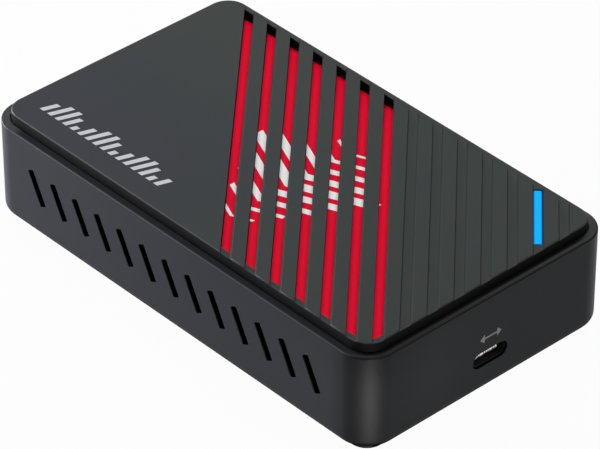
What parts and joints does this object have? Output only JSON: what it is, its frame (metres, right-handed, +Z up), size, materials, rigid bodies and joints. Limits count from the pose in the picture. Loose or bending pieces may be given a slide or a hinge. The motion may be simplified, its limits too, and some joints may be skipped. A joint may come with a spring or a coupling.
{
  "type": "video capture box",
  "caption": "Flat vented box with a channelled, slotted lift-off cover over a red inlay, a lit status bar, a USB-C socket and video sockets; captures video for a computer.",
  "frame": {"origin": "middle of the box on the plane that its feet stand on", "axes": "+X along the length towards the USB-C socket, +Y across the width, +Z up through the cover"},
  "size_m": [0.1126, 0.0662, 0.026],
  "materials": {
    "housing_plastic": "fine moulded grain, satin matte",
    "cover_plastic": "fine moulded grain, matte",
    "deck_plastic": "matte black",
    "inlay_print": "printed sheet, satin",
    "light_bar": "lit diffuser",
    "board_laminate": "solder mask",
    "socket_metal": "nickel plated",
    "socket_plastic": "matte black",
    "contact_gold": "gold flash",
    "chip_resin": "moulded epoxy",
    "pad_silicone": "soft matte",
    "sink_aluminium": "extruded, clear",
    "inductor_core": "moulded powder",
    "led_resin": "clear resin",
    "screw_steel": "zinc plated",
    "foot_rubber": "soft matte"
  },
  "bodies": {
    "housing": {"base_shell": "housing_plastic", "upper_deck": "deck_plastic", "inlay_panel": "inlay_print", "light_pipe": "light_bar", "main_board": "board_laminate", "usb_shell": "socket_metal", "usb_tongue": "socket_plastic", "usb_contacts": "contact_gold", "hdmi_in_shell": "socket_metal", "hdmi_in_tongue": "socket_plastic", "hdmi_in_contacts": "contact_gold", "hdmi_out_shell": "socket_metal", "hdmi_out_tongue": "socket_plastic", "hdmi_out_contacts": "contact_gold", "video_processor": "chip_resin", "thermal_pad": "pad_silicone", "heat_sink": "sink_aluminium", "usb_bridge": "chip_resin", "video_receiver": "chip_resin", "video_splitter": "chip_resin", "memory_chip_1": "chip_resin", "memory_chip_2": "chip_resin", "flash_chip": "chip_resin", "crystal": "socket_metal", "inductor_1": "inductor_core", "inductor_2": "inductor_core", "inductor_3": "inductor_core", "capacitor_1": "sink_aluminium", "capacitor_2": "sink_aluminium", "status_led_1": "led_resin", "status_led_2": "led_resin", "board_screws": "screw_steel", "case_screws": "screw_steel", "foot_front_left": "foot_rubber", "foot_front_right": "foot_rubber", "foot_back_left": "foot_rubber", "foot_back_right": "foot_rubber"},
    "cover": {"top_cover": "cover_plastic"}
  },
  "joints": [
    {"name": "cover_lift", "type": "slide", "parent": "housing", "child": "cover", "axis": [0, 0, 1], "range_m": [0, 0.025]}
  ]
}
